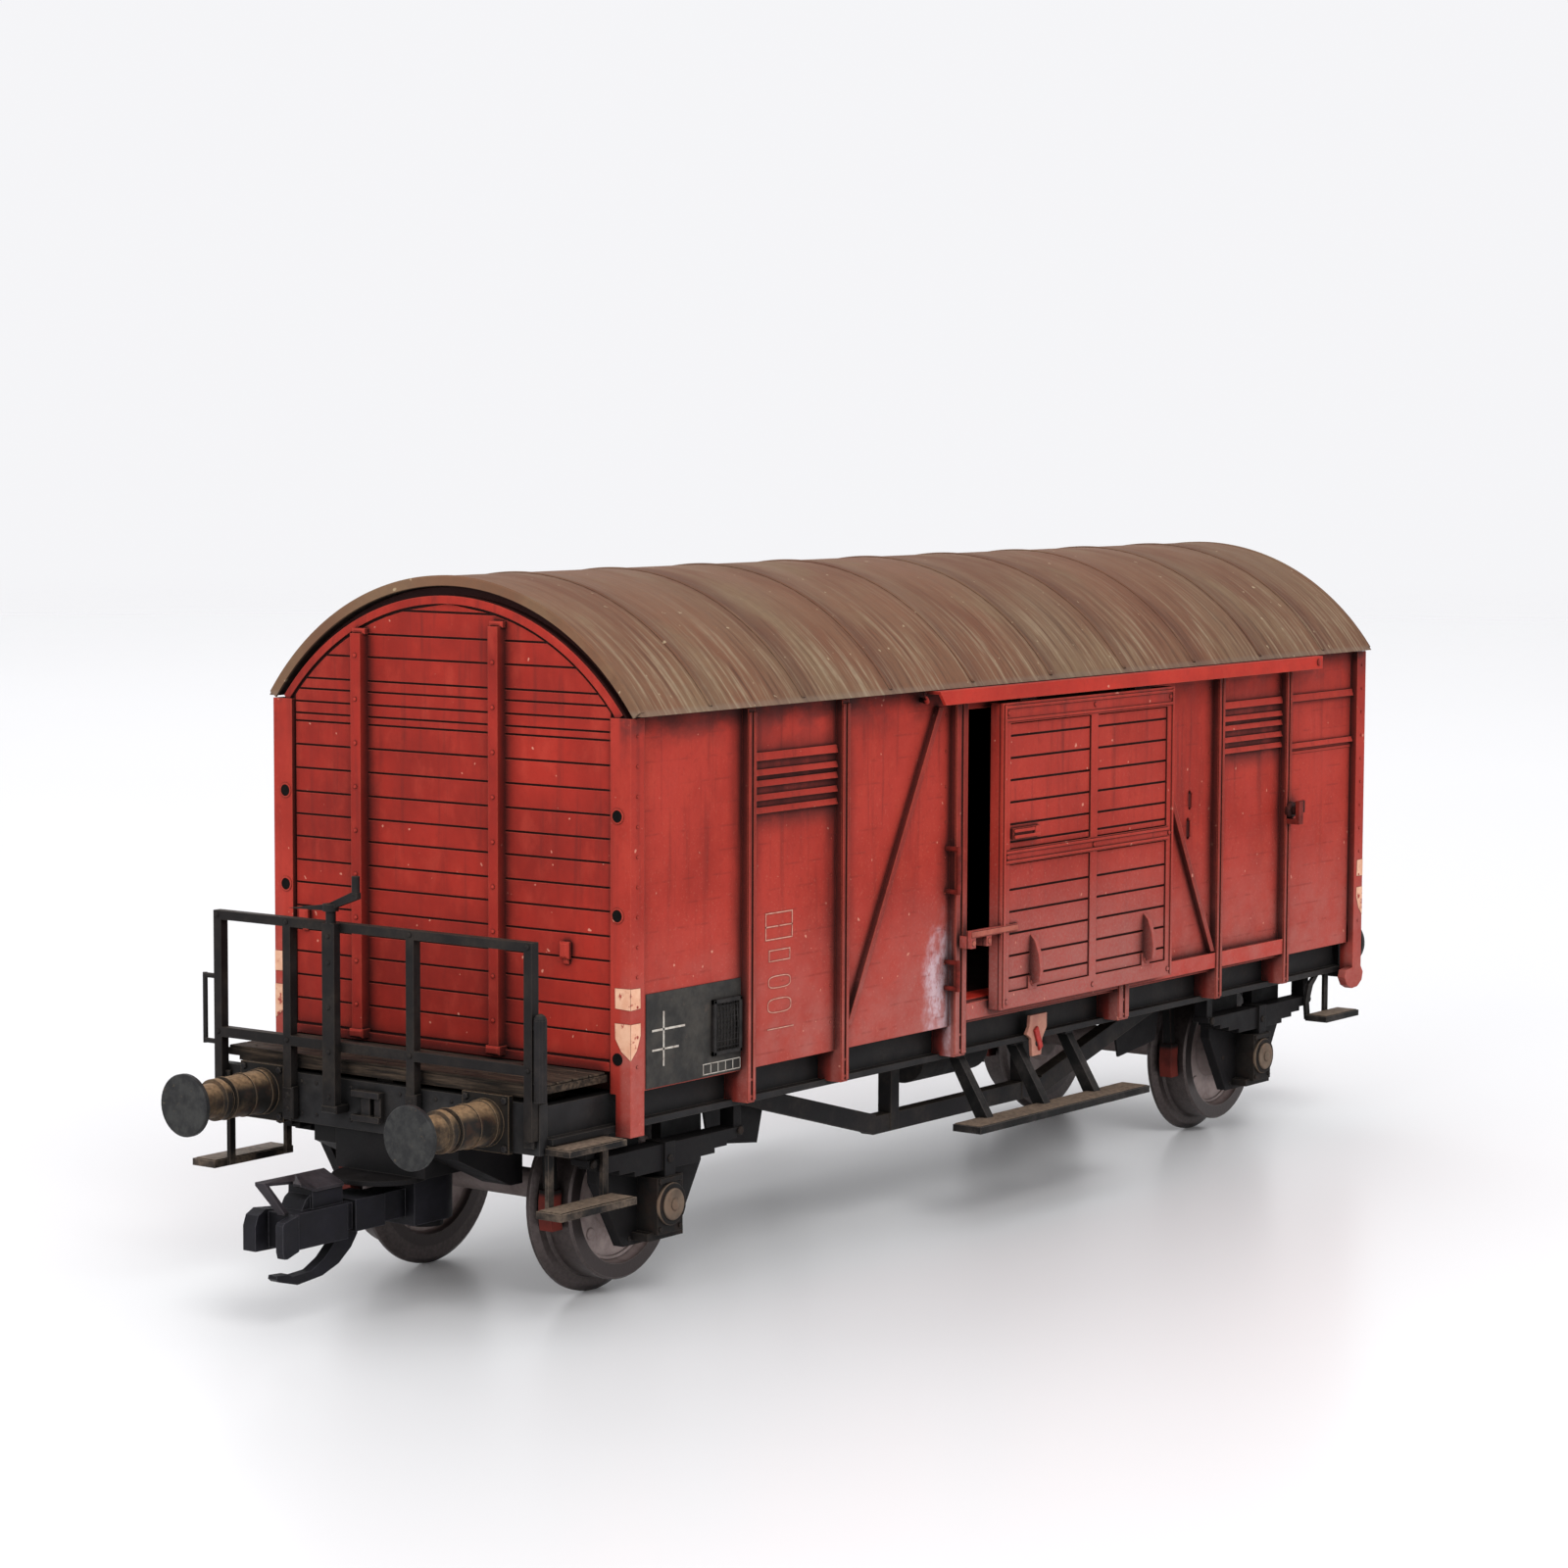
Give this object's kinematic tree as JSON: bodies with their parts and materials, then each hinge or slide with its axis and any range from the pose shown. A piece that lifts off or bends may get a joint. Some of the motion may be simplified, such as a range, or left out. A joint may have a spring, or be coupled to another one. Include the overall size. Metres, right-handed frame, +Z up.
{
  "type": "model railway covered goods wagon",
  "caption": "Two-axle covered goods wagon for 12 mm gauge model track, with sliding doors, a hollow load space, a brakeman's platform and hook-and-loop couplings.",
  "frame": {"origin": "on the floor under the wheel flanges, midway between the buffer faces and on the centre plane", "axes": "+X along the wagon away from the brakeman's platform, +Y across, +Z up"},
  "size_m": [0.0944, 0.0266, 0.0357],
  "materials": {
    "body_plastic": "weathered red-brown",
    "roof_plastic": "weathered grey-brown",
    "frame_plastic": "black with brown dust",
    "step_plastic": "dark grey with brown dust",
    "deck_plastic": "weathered wood colour",
    "wheel_steel": "browned",
    "weight_steel": "plain",
    "buffer_plastic": "rusty",
    "plate_plastic": "tan paint",
    "coupling_plastic": "black",
    "bow_steel": "blackened"
  },
  "bodies": {
    "wagon": {"load_floor": "body_plastic", "side_wall_near": "body_plastic", "side_wall_far": "body_plastic", "side_posts_near": "body_plastic", "side_posts_far": "body_plastic", "louvres": "body_plastic", "end_wall_platform": "body_plastic", "end_wall_plain": "body_plastic", "corner_posts": "body_plastic", "roof": "roof_plastic", "door_rails_near": "body_plastic", "door_rails_far": "body_plastic", "underframe_plate": "frame_plastic", "steel_weight": "weight_steel", "solebars": "frame_plastic", "headstocks": "frame_plastic", "axle_guards": "frame_plastic", "leaf_springs": "frame_plastic", "axle_boxes": "frame_plastic", "brake_shoes": "frame_plastic", "brake_beams": "frame_plastic", "brake_rod": "frame_plastic", "brake_cylinder": "frame_plastic", "brake_brackets": "frame_plastic", "truss_bars": "frame_plastic", "door_steps": "step_plastic", "corner_steps_platform": "step_plastic", "corner_steps_plain": "step_plastic", "platform_deck": "deck_plastic", "platform_railing": "frame_plastic", "brake_column": "frame_plastic", "brake_crank": "frame_plastic", "grab_handles": "frame_plastic", "door_post_handles": "body_plastic", "buffer_sleeves": "buffer_plastic", "buffer_heads": "buffer_plastic", "drawhooks": "frame_plastic", "coupling_guides": "frame_plastic", "coupling_pins": "frame_plastic", "changeover_plates": "plate_plastic", "lamp_irons": "frame_plastic"},
    "wheelset_platform_end": {"axle_platform_end": "wheel_steel", "wheels_platform_end": "wheel_steel"},
    "wheelset_plain_end": {"axle_plain_end": "wheel_steel", "wheels_plain_end": "wheel_steel"},
    "sliding_door_near": {"door_near": "body_plastic"},
    "sliding_door_far": {"door_far": "body_plastic"},
    "coupler_platform_end": {"coupling_platform_end": "coupling_plastic", "coupling_bow_platform_end": "bow_steel"},
    "coupler_plain_end": {"coupling_plain_end": "coupling_plastic", "coupling_bow_plain_end": "bow_steel"}
  },
  "joints": [
    {"name": "wheelset_platform_end_turn", "type": "hinge", "parent": "wagon", "child": "wheelset_platform_end", "pos_m": [-0.0292, 0, 0.00495], "axis": [0, 1, 0], "continuous": true},
    {"name": "wheelset_plain_end_turn", "type": "hinge", "parent": "wagon", "child": "wheelset_plain_end", "pos_m": [0.0292, 0, 0.00495], "axis": [0, 1, 0], "continuous": true},
    {"name": "door_near_slide", "type": "slide", "parent": "wagon", "child": "sliding_door_near", "axis": [1, 0, 0], "range_m": [-0.0029, 0.0135]},
    {"name": "door_far_slide", "type": "slide", "parent": "wagon", "child": "sliding_door_far", "axis": [-1, 0, 0], "range_m": [-0.0029, 0.0135]},
    {"name": "coupler_platform_end_swivel", "type": "hinge", "parent": "wagon", "child": "coupler_platform_end", "pos_m": [-0.0356, 0, 0.0055], "axis": [0, 0, 1], "range_deg": [-14, 14]},
    {"name": "coupler_plain_end_swivel", "type": "hinge", "parent": "wagon", "child": "coupler_plain_end", "pos_m": [0.0356, 0, 0.0055], "axis": [0, 0, 1], "range_deg": [-14, 14]}
  ]
}
